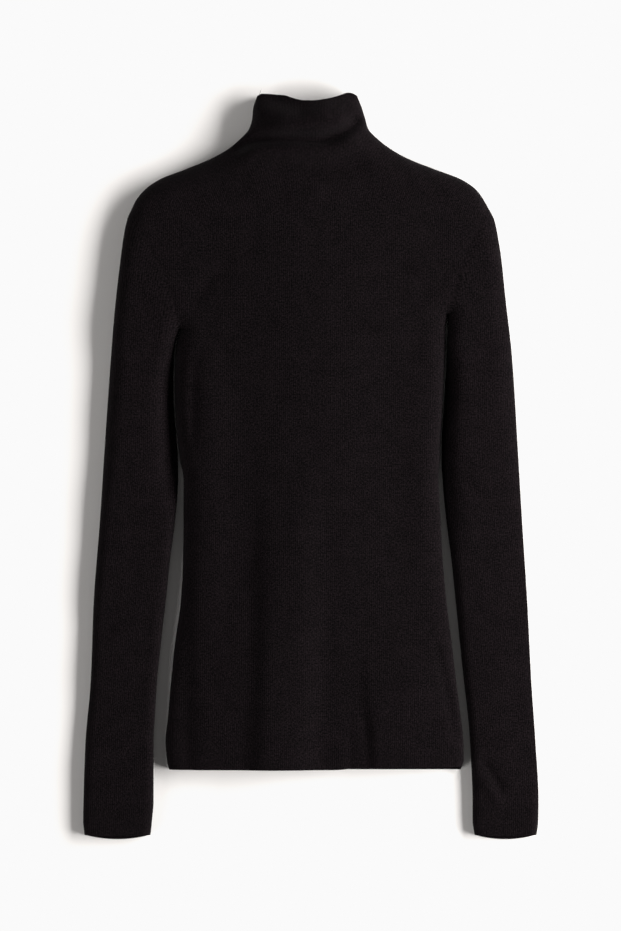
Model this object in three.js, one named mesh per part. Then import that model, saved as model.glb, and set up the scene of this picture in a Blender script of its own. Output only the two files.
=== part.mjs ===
import * as THREE from 'three';

// A turtleneck sweater in fine black knit, laid face up on a flat surface and lightly lofted.
// Millimetres, +Z up, +Y towards the collar, +X towards the wearer's left.
// The origin lies on the surface, under the middle of the sweater.

// The cloth and its edges
const clothThickness = 1.6;
const seamGap = 0.32; // left between two pieces that are sewn together
const seamHeightShare = 0.42; // height of a side seam, as a share of the loft beside it
const topRoundShare = 2; // width of the rounding above a side seam, over its height
const underRoundShare = 1.3; // the same below the seam, where the cloth comes to rest

// Main lengths
const hemY = -293;
const cuffY = -356.5;
const neckPointY = 300; // where shoulder, neckline and collar meet
const collarTopY = 359;
const frontNeckDrop = 51;
const backNeckDrop = 18;
const armpit = { right: { x: -127, y: 132 }, left: { x: 132, y: 146.5 } };
const armholeTopY = { right: 243.5, left: 251 };
const frontHemLift = { from: 20, to: 60, by: 2.9 }; // the front hem rides up over the back's on one side
const cuffBackDrop = 4.3; // how far a cuff's under layer shows below its upper layer
const collarTopDip = { front: 5, back: -1 };
const neckCurvePower = 2.4;
const seamLength = { armhole: 122, neckline: 220, shoulder: 82 }; // roughly, to space the points along them

// Outer edge from cuff over shoulder to collar: x on the wearer's right and left at height y.
const silhouette = [
  { y: -356.5, right: -219.5, left: 218.5 },
  { y: -343, right: -220.8, left: 220.2 },
  { y: -324, right: -220.5, left: 220.5 },
  { y: -266, right: -218.5, left: 217.5 },
  { y: -208, right: -213.5, left: 213.5 },
  { y: -130, right: -210.5, left: 209.5 },
  { y: -52, right: -204.5, left: 204.5 },
  { y: 26, right: -199.5, left: 200 },
  { y: 104, right: -194, left: 195 },
  { y: 162, right: -189, left: 188.5 },
  { y: 200, right: -184.5, left: 184.5 },
  { y: 220, right: -182, left: 181.5 },
  { y: 239.5, right: -178, left: 177.5 },
  { y: 251, right: -173, left: 171.5 },
  { y: 259, right: -169, left: 167 },
  { y: 268.5, right: -161, left: 160 },
  { y: 278.5, right: -146.5, left: 145.5 },
  { y: 288, right: -122, left: 120.5 },
  { y: 298, right: -98, left: 95 },
  { y: 307.5, right: -80.5, left: 77.5 },
  { y: 317, right: -69, left: 65 },
  { y: 327, right: -60, left: 55.5 },
  { y: 336.5, right: -57, left: 52.5 },
  { y: 346.5, right: -56, left: 49.5 },
  { y: 359, right: -52, left: 44.5 },
];

// The two slits between body and sleeves: x of the body's sides and of the sleeves' inner edges.
const slits = [
  { y: -356.5, sleeveRight: -155.5, sleeveLeft: 158.5 },
  { y: -342.5, sleeveRight: -154, sleeveLeft: 156.5 },
  { y: -323, sleeveRight: -152.5, sleeveLeft: 156.5 },
  { y: -293, sleeveRight: -152.5, bodyRight: -137.5, bodyLeft: 145, sleeveLeft: 155.5 },
  { y: -284, sleeveRight: -152.5, bodyRight: -139.5, bodyLeft: 148, sleeveLeft: 155 },
  { y: -265, sleeveRight: -152.5, bodyRight: -141, bodyLeft: 147.5, sleeveLeft: 154 },
  { y: -245.5, sleeveRight: -151.5, bodyRight: -139, bodyLeft: 145.5, sleeveLeft: 152.5 },
  { y: -206.5, sleeveRight: -149, bodyRight: -135.5, bodyLeft: 140.5, sleeveLeft: 148 },
  { y: -168, sleeveRight: -145, bodyRight: -131.5, bodyLeft: 136, sleeveLeft: 144 },
  { y: -129, sleeveRight: -140.5, bodyRight: -126, bodyLeft: 131, sleeveLeft: 140 },
  { y: -90, sleeveRight: -136.5, bodyRight: -124, bodyLeft: 127.5, sleeveLeft: 136 },
  { y: -51.5, sleeveRight: -132.5, bodyRight: -122.5, bodyLeft: 125.5, sleeveLeft: 132 },
  { y: -12.5, sleeveRight: -129.5, bodyRight: -122, bodyLeft: 123, sleeveLeft: 129 },
  { y: 7, sleeveRight: -129.5, bodyRight: -123.5, bodyLeft: 122, sleeveLeft: 129 },
  { y: 26, sleeveRight: -131, bodyRight: -125.5, bodyLeft: 123, sleeveLeft: 129 },
  { y: 45.5, sleeveRight: -133, bodyRight: -128.5, bodyLeft: 125, sleeveLeft: 130 },
  { y: 65, sleeveRight: -134, bodyRight: -130.5, bodyLeft: 126.5, sleeveLeft: 131 },
  { y: 84.5, sleeveRight: -134, bodyRight: -131, bodyLeft: 127.5, sleeveLeft: 131.5 },
  { y: 104, sleeveRight: -133.5, bodyRight: -131, bodyLeft: 128.5, sleeveLeft: 132 },
  { y: 123, sleeveRight: -131.5, bodyRight: -129, bodyLeft: 129.5, sleeveLeft: 132.5 },
  { y: 132, sleeveRight: -127, bodyRight: -127, bodyLeft: 130, sleeveLeft: 132.5 },
  { y: 146.5, bodyLeft: 132, sleeveLeft: 132 },
];

// The armhole seams between armpit and shoulder.
const armholes = {
  right: [
    { y: 132, x: -127 },
    { y: 157, x: -132.5 },
    { y: 182, x: -139.5 },
    { y: 207.5, x: -152.5 },
    { y: 228, x: -167 },
    { y: 243.5, x: -176.5 },
  ],
  left: [
    { y: 146.5, x: 132 },
    { y: 166, x: 136.5 },
    { y: 187, x: 143 },
    { y: 210.5, x: 152 },
    { y: 232, x: 162.5 },
    { y: 251, x: 171.5 },
  ],
};

// Loft of the upper layer: beside the sleeves' edges, beside the body's edges and on the body's middle line.
const loft = [
  { y: -360, sleeve: 12, side: 13, middle: 16 },
  { y: -293, sleeve: 12.5, side: 13, middle: 16 },
  { y: -200, sleeve: 13.5, side: 15, middle: 20 },
  { y: -80, sleeve: 15.5, side: 16.5, middle: 24 },
  { y: 60, sleeve: 17.6, side: 17.6, middle: 26 },
  { y: 140, sleeve: 19, side: 19, middle: 27 },
  { y: 250, sleeve: 20, side: 20, middle: 27 },
  { y: 295, sleeve: 22, side: 22, middle: 29 },
  { y: 315, sleeve: 27, side: 27, middle: 33 },
  { y: 340, sleeve: 30, side: 30, middle: 36 },
  { y: 361, sleeve: 29, side: 29, middle: 34 },
];

// Folds of the upper layer: soft ridges, with a rise over 0, and troughs along lines.
// They fade over a length at each end, but for an open far end.
const folds = [
  {
    name: 'long trough',
    line: [[-51, 45], [-53, -120], [-54, -300]],
    width: 9, rise: -3.4, fade: 170, open: true,
  },
  { name: 'side trough', line: [[-110, -190], [-114, -300]], width: 8, rise: -2.8, fade: 60, open: true },
  { name: 'hem crease', line: [[53, -225], [58, -300]], width: 5, rise: -2.2, fade: 35, open: true },
  { name: 'hem dimple', line: [[38, -230], [38, -300]], width: 5, rise: -1.1, fade: 40, open: true },
  { name: 'middle ridge', line: [[4, -110], [5, -300]], width: 15, rise: 1.6, fade: 80, open: true },
  { name: 'hip swell', line: [[84, -135], [92, -250]], width: 24, rise: 1.8, fade: 50 },
  { name: 'right side line', line: [[-112, 120], [-115, 0]], width: 6, rise: -1.2, fade: 40 },
  { name: 'left sleeve crease', line: [[162, -282], [187, -318]], width: 5, rise: -1.9, fade: 14 },
  { name: 'left sleeve ridge', line: [[160, -298], [186, -332]], width: 6, rise: 1.3, fade: 14 },
  { name: 'right sleeve dimple', line: [[-197, -142], [-195, -170]], width: 8, rise: -1.2, fade: 14 },
  {
    name: 'neck crease',
    line: [[-84, 303], [-70, 311], [-54, 316], [-25, 317], [11, 316], [35, 327], [52, 343]],
    width: 5, rise: -7, fade: 12,
  },
  { name: 'collar roll', line: [[-46, 327], [-10, 328], [26, 335]], width: 7, rise: 2.4, fade: 18 },
  {
    name: 'collar base ridge',
    line: [[-69, 302], [-20, 304], [24, 306], [52, 318]],
    width: 7, rise: 2.6, fade: 20,
  },
  { name: 'collar base valley', line: [[-50, 293], [0, 290], [60, 292]], width: 8, rise: -1.8, fade: 20 },
  { name: 'collar dent', line: [[-36, 352], [-9, 344]], width: 11, rise: -4.5, fade: 10 },
  { name: 'chest swell', line: [[-30, 264], [20, 266]], width: 14, rise: 1.4, fade: 16 },
];

// Numbers of steps in the walls
const roundSteps = 5; // over a rounded edge
const roundWidth = 22;
const steps = {
  shoulder: 3, neckline: 6, armhole: 4,
  frontLength: 13, backLength: 6, sleeveLength: 21, collarHeight: 15,
};
const edgeSampleStep = 4;
const neckLineSamples = 60;
const slopeStep = 0.2;
const sleeveTurn = { share: 0.45, power: 1.5 }; // the part of the sleeve over which its rings turn level
const sides = ['right', 'left'];

const knit = { color: 0x17131a, roughness: 0.95, metalness: 0 };

const clamp = THREE.MathUtils.clamp;
const mix = THREE.MathUtils.lerp;
const smooth = THREE.MathUtils.smoothstep;

// A smooth value between a table's rows that never overshoots them (a monotone cubic).
function between(rows, column) {
  const used = rows.filter((row) => column in row);
  const y = used.map((row) => row.y);
  const v = used.map((row) => row[column]);
  const secant = v.slice(1).map((value, i) => (value - v[i]) / (y[i + 1] - y[i]));
  const slope = v.map((_, i) => {
    if (i === 0 || i === v.length - 1) return secant[Math.min(i, secant.length - 1)];
    const [before, after] = [secant[i - 1], secant[i]];
    return before * after <= 0 ? 0 : (2 * before * after) / (before + after);
  });
  return (at) => {
    const t = clamp(at, y[0], y[y.length - 1]);
    let i = 0;
    while (i < secant.length - 1 && t > y[i + 1]) i += 1;
    const h = y[i + 1] - y[i];
    const s = (t - y[i]) / h;
    const keep = (1 + 2 * s) * (1 - s) ** 2 * v[i] + s * s * (3 - 2 * s) * v[i + 1];
    return keep + s * (1 - s) * h * ((1 - s) * slope[i] - s * slope[i + 1]);
  };
}

// The curves that the tables give
const outer = { right: between(silhouette, 'right'), left: between(silhouette, 'left') };
const sleeveInner = { right: between(slits, 'sleeveRight'), left: between(slits, 'sleeveLeft') };
const bodySide = { right: between(slits, 'bodyRight'), left: between(slits, 'bodyLeft') };
const armhole = { right: between(armholes.right, 'x'), left: between(armholes.left, 'x') };
const loftOf = {
  sleeve: between(loft, 'sleeve'), side: between(loft, 'side'), middle: between(loft, 'middle'),
};

// The body's edge at height y: its side, then the armhole, then the shoulder and collar.
function bodyEdge(side, y) {
  if (y < armpit[side].y) return bodySide[side](y);
  return y < armholeTopY[side] ? armhole[side](y) : outer[side](y);
}

// Points along a curve x(y), and a function that gives the point at a share of a line's length.
function sample(curve, from, to) {
  const count = Math.max(2, Math.ceil(Math.abs(to - from) / edgeSampleStep));
  return Array.from({ length: count + 1 }, (_, i) => {
    const y = mix(from, to, i / count);
    return new THREE.Vector2(curve(y), y);
  });
}

function byLength(points) {
  const reach = [0];
  for (let i = 1; i < points.length; i += 1) reach.push(reach[i - 1] + points[i].distanceTo(points[i - 1]));
  const total = reach[reach.length - 1];
  return (share) => {
    const wanted = share * total;
    let i = 1;
    while (i < reach.length - 1 && reach[i] < wanted) i += 1;
    const part = (wanted - reach[i - 1]) / (reach[i] - reach[i - 1]);
    return points[i - 1].clone().lerp(points[i], part);
  };
}

// A line moved sideways, to the left of the way it runs.
function movedLine(points, by) {
  return points.map((point, i) => {
    const ahead = points[Math.min(i + 1, points.length - 1)];
    const behind = points[Math.max(i - 1, 0)];
    const way = ahead.clone().sub(behind).normalize();
    return new THREE.Vector2(point.x - way.y * by, point.y + way.x * by);
  });
}

// Every folded edge that closes the garment, with the side of it on which the cloth lies.
const pastEnd = 8;
const closedEdges = sides.flatMap((side) => {
  const inward = side === 'right' ? 1 : -1;
  return [
    { points: sample(outer[side], cuffY - pastEnd, collarTopY + pastEnd), inward },
    { points: sample(sleeveInner[side], cuffY - pastEnd, armpit[side].y), inward: -inward },
    { points: sample(bodySide[side], hemY - pastEnd, armpit[side].y), inward },
  ];
});

// Distance to the nearest folded edge, and that edge's direction into the cloth.
function nearestEdge(x, y) {
  let best = { distance: Infinity, into: null };
  for (const { points, inward } of closedEdges) {
    for (let i = 1; i < points.length; i += 1) {
      const a = points[i - 1];
      const b = points[i];
      const dx = b.x - a.x;
      const dy = b.y - a.y;
      const share = clamp(((x - a.x) * dx + (y - a.y) * dy) / (dx * dx + dy * dy), 0, 1);
      const distance = Math.hypot(x - a.x - share * dx, y - a.y - share * dy);
      if (distance < best.distance) {
        best = { distance, into: new THREE.Vector2(dy, -dx).normalize().multiplyScalar(inward) };
      }
    }
  }
  return best;
}

// What the folds add to the loft at a point.
function foldRise(x, y) {
  let rise = 0;
  const at = new THREE.Vector2(x, y);
  for (const fold of folds) {
    const points = fold.line.map(([px, py]) => new THREE.Vector2(px, py));
    let best = { distance: Infinity, along: 0 };
    let along = 0;
    for (let i = 1; i < points.length; i += 1) {
      const step = points[i].clone().sub(points[i - 1]);
      const length = step.length();
      const share = at.clone().sub(points[i - 1]).dot(step) / (length * length);
      const foot = points[i - 1].clone().addScaledVector(step, clamp(share, 0, 1));
      const distance = foot.distanceTo(at);
      if (distance < best.distance) best = { distance, along: along + clamp(share, 0, 1) * length };
      along += length;
    }
    const start = smooth(best.along, 0, fold.fade);
    const end = fold.open ? 1 : smooth(along - best.along, 0, fold.fade);
    rise += fold.rise * start * end * Math.exp(-((best.distance / fold.width) ** 2));
  }
  return rise;
}

// Height of the upper and the under layer. kind says whether the point is on a sleeve or on the body.
function upperHeight(x, y, kind, distance) {
  const edge = loftOf[kind === 'sleeve' ? 'sleeve' : 'side'](y);
  const seam = seamHeightShare * edge;
  let full = edge;
  if (kind !== 'sleeve') {
    const [low, high] = [bodyEdge('right', y), bodyEdge('left', y)];
    const across = clamp(Math.abs((2 * (x - low)) / (high - low) - 1), 0, 1);
    full += (loftOf.middle(y) - edge) * (1 - across * across) ** 2;
  }
  const inFromEdge = Math.min(distance / (topRoundShare * (edge - seam)), 1);
  return seam + (full + foldRise(x, y) - seam) * Math.sqrt(1 - (1 - inFromEdge) ** 2);
}

function underHeight(x, y, kind, distance) {
  const seam = seamHeightShare * loftOf[kind === 'sleeve' ? 'sleeve' : 'side'](y);
  const inFromEdge = Math.min(distance / (underRoundShare * seam), 1);
  return seam * (1 - Math.sqrt(1 - (1 - inFromEdge) ** 2));
}

// A point of a layer's outer face and the direction out of the cloth there.
// seamShift lifts a sewn edge off its neighbour; onEdge marks points that lie on a folded edge.
function clothPoint(plan, { layer, kind, onEdge = false, seamShift = 0 }) {
  const height = layer === 'upper' ? upperHeight : underHeight;
  const sign = layer === 'upper' ? 1 : -1;
  const { x, y } = plan;
  const edge = nearestEdge(x, y);
  const at = height(x, y, kind, onEdge ? 0 : edge.distance);
  const out = new THREE.Vector3();
  if (onEdge) {
    const pit = sides.find((side) => Math.hypot(x - armpit[side].x, y - armpit[side].y) < 1);
    const towardsMiddle = (pit === 'right') === (kind === 'body') ? 1 : -1;
    out.set(pit ? -towardsMiddle : -edge.into.x, pit ? 0 : -edge.into.y, 0);
  } else {
    const slope = (dx, dy) => {
      const ahead = height(x + dx, y + dy, kind, nearestEdge(x + dx, y + dy).distance);
      const behind = height(x - dx, y - dy, kind, nearestEdge(x - dx, y - dy).distance);
      return (ahead - behind) / (2 * slopeStep);
    };
    out.set(-sign * slope(slopeStep, 0), -sign * slope(0, slopeStep), sign).normalize();
  }
  return { point: new THREE.Vector3(x, y, at + (onEdge ? sign * seamShift : 0)), out };
}

// Shares of a length, closer together over its rounded ends.
function spread(length, middleSteps, roundStart, roundEnd) {
  const round = (k) => roundWidth * (1 - Math.cos(((Math.PI / 2) * k) / roundSteps));
  const from = roundStart ? roundWidth : 0;
  const to = roundEnd ? length - roundWidth : length;
  const stops = [];
  if (roundStart) for (let k = 0; k < roundSteps; k += 1) stops.push(round(k));
  for (let k = 0; k <= middleSteps; k += 1) stops.push(mix(from, to, k / middleSteps));
  if (roundEnd) for (let k = roundSteps - 1; k >= 0; k -= 1) stops.push(length - round(k));
  return stops.map((stop) => stop / length);
}

// A closed wall of the cloth's thickness from rows of outer points. A ring's rows join up end to start.
function wall(rows, isRing) {
  const across = rows[0].length;
  const positions = [];
  for (const inner of [0, 1]) {
    for (const row of rows) {
      for (const { point, out } of row) {
        positions.push(...point.clone().addScaledVector(out, -inner * clothThickness).toArray());
      }
    }
  }
  const index = [];
  const id = (row, column, inner) => inner * rows.length * across + row * across + (column % across);
  const quad = (a, b, c, d) => index.push(a, b, c, a, c, d);
  const columns = isRing ? across : across - 1;
  for (let r = 0; r < rows.length - 1; r += 1) {
    for (let c = 0; c < columns; c += 1) {
      quad(id(r, c, 0), id(r, c + 1, 0), id(r + 1, c + 1, 0), id(r + 1, c, 0));
      quad(id(r, c, 1), id(r + 1, c, 1), id(r + 1, c + 1, 1), id(r, c + 1, 1));
    }
    if (!isRing) {
      quad(id(r, 0, 0), id(r + 1, 0, 0), id(r + 1, 0, 1), id(r, 0, 1));
      quad(id(r, across - 1, 1), id(r + 1, across - 1, 1), id(r + 1, across - 1, 0), id(r, across - 1, 0));
    }
  }
  const last = rows.length - 1;
  for (let c = 0; c < columns; c += 1) {
    quad(id(0, c, 1), id(0, c + 1, 1), id(0, c + 1, 0), id(0, c, 0));
    quad(id(last, c, 0), id(last, c + 1, 0), id(last, c + 1, 1), id(last, c, 1));
  }
  return facingOut(positions, index);
}

// Turns a closed wall's faces outwards if its rows run the other way.
function facingOut(positions, index) {
  const corner = (i) => new THREE.Vector3().fromArray(positions, 3 * i);
  let volume = 0;
  for (let i = 0; i < index.length; i += 3) {
    volume += corner(index[i]).dot(corner(index[i + 1]).cross(corner(index[i + 2])));
  }
  const geometry = new THREE.BufferGeometry();
  geometry.setAttribute('position', new THREE.Float32BufferAttribute(positions, 3));
  geometry.setIndex(volume < 0 ? index.slice().reverse() : index);
  geometry.computeVertexNormals();
  return geometry;
}

// The line across the neck at a share of the collar's height, 0 at the neckline seam and 1 at the top edge.
function neckLine(layer, height) {
  const y = mix(neckPointY, collarTopY, height);
  const drop = layer === 'upper'
    ? mix(frontNeckDrop, collarTopDip.front, height)
    : mix(backNeckDrop, collarTopDip.back, height);
  return Array.from({ length: neckLineSamples + 1 }, (_, i) => {
    const share = i / neckLineSamples;
    const dip = drop * (1 - Math.abs(2 * share - 1) ** neckCurvePower);
    return new THREE.Vector2(mix(outer.right(y), outer.left(y), share), y - dip);
  });
}

const armholeStops = spread(seamLength.armhole, steps.armhole, true, true);
const necklineStops = spread(seamLength.neckline, steps.neckline, true, true);
const shoulderShare = 0.24; // of the panel's width, from each armhole to the neckline

// The armhole seam as a line from armpit to shoulder, set off by half the gap towards sleeve or body.
function armholeLine(side, towards) {
  const toLeftOfLine = (side === 'right') === (towards === 'sleeve');
  const line = movedLine(
    sample(armhole[side], armpit[side].y, armholeTopY[side]),
    (toLeftOfLine ? seamGap : -seamGap) / 2,
  );
  const top = line[line.length - 1];
  top.y = armholeTopY[side] + ((towards === 'sleeve' ? -1 : 1) * seamGap) / 2;
  top.x = outer[side](top.y);
  return byLength(line);
}

// The neckline seam from the wearer's right to left, set off likewise towards the collar or the body.
function necklineSeam(layer, towards) {
  const sign = towards === 'collar' ? 1 : -1;
  const line = movedLine(neckLine(layer, 0), (sign * seamGap) / 2);
  sides.forEach((side) => {
    const end = side === 'right' ? line[0] : line[line.length - 1];
    end.y = neckPointY + (sign * seamGap) / 2;
    end.x = outer[side](end.y);
  });
  return byLength(line);
}

// The front or back of the body: a lower patch from hem to armpits, an upper one to the shoulders.
function bodyPanel(layer, lengthSteps) {
  const isFront = layer === 'upper';
  const hem = (x) => hemY + (isFront ? frontHemLift.by * smooth(x, frontHemLift.from, frontHemLift.to) : 0);
  const neckline = necklineSeam(layer, 'body');
  const shoulder = {};
  const armholeSeam = {};
  const sideSeam = {};
  for (const side of sides) {
    const topY = armholeTopY[side] + seamGap / 2;
    shoulder[side] = byLength(sample(outer[side], topY, neckPointY - seamGap / 2));
    armholeSeam[side] = armholeLine(side, 'body');
    const seamStart = armholeSeam[side](0);
    const line = sample(bodySide[side], hem(bodySide[side](hemY)), armpit[side].y);
    line[line.length - 1].copy(seamStart);
    sideSeam[side] = byLength(line);
  }
  const topEdge = (u) => {
    if (u <= shoulderShare) return shoulder.right(u / shoulderShare);
    if (u >= 1 - shoulderShare) return shoulder.left((1 - u) / shoulderShare);
    return neckline((u - shoulderShare) / (1 - 2 * shoulderShare));
  };
  const armpitLine = (u) => armholeSeam.right(0).lerp(armholeSeam.left(0), u);
  const hemLine = (u) => {
    const x = mix(bodySide.right(hemY), bodySide.left(hemY), u);
    return new THREE.Vector2(x, hem(x));
  };
  const patch = (bottom, top, low, high) => (u, w) => {
    const point = bottom(u).multiplyScalar(1 - w).addScaledVector(top(u), w);
    point.addScaledVector(low(w), 1 - u).addScaledVector(high(w), u);
    point.addScaledVector(bottom(0), -(1 - u) * (1 - w)).addScaledVector(bottom(1), -u * (1 - w));
    return point.addScaledVector(top(0), -(1 - u) * w).addScaledVector(top(1), -u * w);
  };
  const lower = patch(hemLine, armpitLine, sideSeam.right, sideSeam.left);
  const upper = patch(armpitLine, topEdge, armholeSeam.right, armholeSeam.left);
  const shoulderStops = spread(seamLength.shoulder, steps.shoulder, true, false);
  const fromShoulder = shoulderStops.map((share) => share * shoulderShare);
  const columns = [
    ...fromShoulder,
    ...necklineStops.slice(1, -1).map((share) => mix(shoulderShare, 1 - shoulderShare, share)),
    ...fromShoulder.slice().reverse().map((share) => 1 - share),
  ];
  const rows = [];
  for (let k = 0; k < lengthSteps; k += 1) {
    rows.push(columns.map((u) => clothPoint(lower(u, k / lengthSteps), {
      layer, kind: 'body', onEdge: u === 0 || u === 1, seamShift: seamGap / 2,
    })));
  }
  for (const w of armholeStops) {
    rows.push(columns.map((u) => {
      const onShoulder = w === 1 && (u <= shoulderShare || u >= 1 - shoulderShare);
      const onArmpit = w === 0 && (u === 0 || u === 1);
      return clothPoint(upper(u, w), {
        layer, kind: 'body', onEdge: onShoulder || onArmpit, seamShift: seamGap / 2,
      });
    }));
  }
  return wall(rows, false);
}

// A sleeve: rings round it from the armhole seam, which turn level down the arm, to the cuff.
function sleeve(side) {
  const seam = armholeLine(side, 'sleeve');
  const [seamStart, seamEnd] = [seam(0), seam(1)];
  const rows = [];
  for (let k = 0; k <= steps.sleeveLength; k += 1) {
    const down = k / steps.sleeveLength;
    const turn = Math.max(0, 1 - down / sleeveTurn.share) ** sleeveTurn.power;
    const innerY = mix(seamStart.y, cuffY, down);
    const outerY = innerY + (seamEnd.y - seamStart.y) * turn;
    const innerEnd = k === 0 ? seamStart : new THREE.Vector2(sleeveInner[side](innerY), innerY);
    const outerEnd = new THREE.Vector2(outer[side](outerY), outerY);
    const line = (share, layer) => {
      const point = innerEnd.clone().lerp(outerEnd, share);
      const bow = seam(share).sub(seamStart.clone().lerp(seamEnd, share));
      point.addScaledVector(bow, turn);
      if (layer === 'under' && k === steps.sleeveLength) point.y -= cuffBackDrop * (1 - (2 * share - 1) ** 2);
      return point;
    };
    const onEdge = (share) => share === 0 || share === 1;
    const ring = armholeStops.map((share) => clothPoint(line(share, 'upper'), {
      layer: 'upper', kind: 'sleeve', onEdge: onEdge(share),
    }));
    const back = armholeStops.slice(1, -1).reverse();
    ring.push(...back.map((share) => clothPoint(line(share, 'under'), { layer: 'under', kind: 'sleeve' })));
    rows.push(ring);
  }
  return wall(rows, true);
}

// The collar: rings from the neckline seam to its top edge, with the slouched crease in its front.
function collar() {
  const rows = [];
  for (let k = 0; k <= steps.collarHeight; k += 1) {
    const height = k / steps.collarHeight;
    const lineOf = (layer) => (k === 0 ? necklineSeam(layer, 'collar') : byLength(neckLine(layer, height)));
    const [front, back] = [lineOf('upper'), lineOf('under')];
    const ring = necklineStops.map((share) => clothPoint(front(share), {
      layer: 'upper', kind: 'body', onEdge: share === 0 || share === 1,
    }));
    const backStops = necklineStops.slice(1, -1).reverse();
    ring.push(...backStops.map((share) => clothPoint(back(share), { layer: 'under', kind: 'body' })));
    rows.push(ring);
  }
  return wall(rows, true);
}

const pieces = [
  { name: 'front', geometry: bodyPanel('upper', steps.frontLength) },
  { name: 'back', geometry: bodyPanel('under', steps.backLength) },
  { name: 'sleeve_right', geometry: sleeve('right') },
  { name: 'sleeve_left', geometry: sleeve('left') },
  { name: 'collar', geometry: collar() },
];

// The origin goes under the middle of all the pieces.
const bounds = new THREE.Box3();
for (const { geometry } of pieces) {
  geometry.computeBoundingBox();
  bounds.union(geometry.boundingBox);
}
const middle = bounds.getCenter(new THREE.Vector3());

const sweater = new THREE.Group();
for (const { name, geometry } of pieces) {
  const mesh = new THREE.Mesh(geometry, new THREE.MeshStandardMaterial(knit));
  mesh.name = name;
  mesh.position.set(-middle.x, -middle.y, -bounds.min.z);
  sweater.add(mesh);
}

export default sweater;
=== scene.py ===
import math

import bmesh
import bpy
import numpy as np
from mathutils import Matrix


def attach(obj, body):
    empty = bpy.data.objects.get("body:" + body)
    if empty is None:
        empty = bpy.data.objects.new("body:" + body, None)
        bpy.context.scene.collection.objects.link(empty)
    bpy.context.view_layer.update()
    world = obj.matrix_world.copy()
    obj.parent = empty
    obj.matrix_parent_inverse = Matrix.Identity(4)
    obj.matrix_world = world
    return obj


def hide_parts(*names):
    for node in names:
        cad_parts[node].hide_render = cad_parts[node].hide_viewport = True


# A fine-knit black turtleneck, laid face up. Tables and sizes are in millimetres,
# +Y towards the collar, +X towards the wearer's left, the surface at z = 0.
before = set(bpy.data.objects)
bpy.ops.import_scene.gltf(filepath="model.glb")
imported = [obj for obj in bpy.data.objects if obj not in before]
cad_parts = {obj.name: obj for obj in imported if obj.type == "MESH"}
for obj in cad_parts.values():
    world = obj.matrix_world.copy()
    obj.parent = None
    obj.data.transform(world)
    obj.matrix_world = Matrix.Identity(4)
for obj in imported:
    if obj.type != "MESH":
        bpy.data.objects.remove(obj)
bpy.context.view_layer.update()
mm = 0.001
tableMiddle = (-0.132, -0.400)  # middle of the sweater in the tables, which goes to the frame's origin


def table(columns, rows):
    # rows of numbers as dictionaries by column, with None where a row has no value
    names = columns.split()
    return [dict(zip(names, row)) for row in rows]


cloth = {
    "thickness": 1.6,
    "seamGap": 0.03,        # between two pieces that are sewn together
    "armholeDip": 0.4,      # how far the armhole seams sink into the cloth
    "necklineDip": 0.15,    # the same at the neckline
    "seamDipWidth": 4.0,    # to each side of a seam
    "seamShare": 0.42,      # height of a side seam, as a share of the loft beside it
    "pitShare": 0.24,       # the same below the armpits, where sleeve and body lie close
    "topRound": 1.9,        # width of the rounding above a side seam, over its height
    "pitRound": 1.15,       # the same on the body below the armpits
    "sleeveRound": 1.35,    # the same on the sleeves
    "underRound": 1.3,      # the same below the seam
    "roundBlend": 30,       # from an armhole to where the sleeve has its own rounding
    "foldFade": 14,         # from an armhole to where folds have their whole height
    "liftFade": 30,         # the same from the sides, for the layer that lies down
    "edgeBevel": 0.4,       # rounding of the rims at hem, cuffs and collar edge
    "roundWidth": 22,       # strip along a rounded side where points lie closer together
    "roundSteps": 10,       # steps across that strip
    "step": 3.0,            # between two points of the cloth where it is even
}

hemY = -293
cuffY = -356.5
neckPointY = 300
collarTopY = 359
frontNeckDrop = 51
backNeckDrop = 18
frontRimDrop = 5  # dip of the collar's even top edge, in its middle
backRimDrop = 6
neckCurvePower = 2.4
armpit = {"right": (-127, 132), "left": (132, 146.5)}
armholeTopY = {"right": 243.5, "left": 251}
sides = ("right", "left")

# Outer edge from cuff over shoulder to collar.
silhouette = table("y right left", [
    (-356.5, -219.5, 218.5),
    (-343, -220.8, 220.2),
    (-324, -220.5, 220.5),
    (-266, -218.5, 217.5),
    (-208, -213.5, 213.5),
    (-130, -210.5, 209.5),
    (-52, -204.5, 204.5),
    (26, -199.5, 200),
    (104, -194, 195),
    (162, -189, 188.5),
    (200, -184.5, 184.5),
    (220, -182, 181.5),
    (239.5, -178, 177.5),
    (251, -173, 171.5),
    (259, -169, 167),
    (268.5, -161, 160),
    (278.5, -146.5, 145.5),
    (288, -122, 120.5),
    (298, -98, 95),
    (307.5, -80.5, 77.5),
    (317, -69, 65),
    (327, -60, 55.5),
    (336.5, -57, 52.5),
    (346.5, -56, 49.5),
    (359, -52, 44.5),
])

# The slits between body and sleeves.
slits = table("y sleeveRight bodyRight bodyLeft sleeveLeft", [
    (-356.5, -155.5, None, None, 158.5),
    (-342.5, -154, None, None, 156.5),
    (-323, -152.5, None, None, 156.5),
    (-293, -152.5, -137.5, 145, 155.5),
    (-284, -152.5, -139.5, 148, 155),
    (-265, -152.5, -141, 147.5, 154),
    (-245.5, -151.5, -139, 145.5, 152.5),
    (-206.5, -149, -135.5, 140.5, 148),
    (-168, -145, -131.5, 136, 144),
    (-129, -140.5, -126, 131, 140),
    (-90, -136.5, -124, 127.5, 136),
    (-51.5, -131.5, -123.5, 125.5, 131),
    (-12.5, -128.8, -123.5, 123.5, 127.5),
    (7, -129, -127.0, 124.6, 126.5),
    (26, -130.3, -129.1, 125.4, 126.7),
    (45.5, -132, -131.0, 126.9, 127.9),
    (65, -133.2, -132, 127.7, 129.2),
    (84.5, -133.3, -132.1, 128.8, 130.2),
    (104, -132.8, -131.6, 129.9, 131.3),
    (123, -130.6, -129.5, 130.4, 131.8),
    (132, -127, -127, 130, 132.5),
    (146.5, None, None, 132, 132),
])

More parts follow.
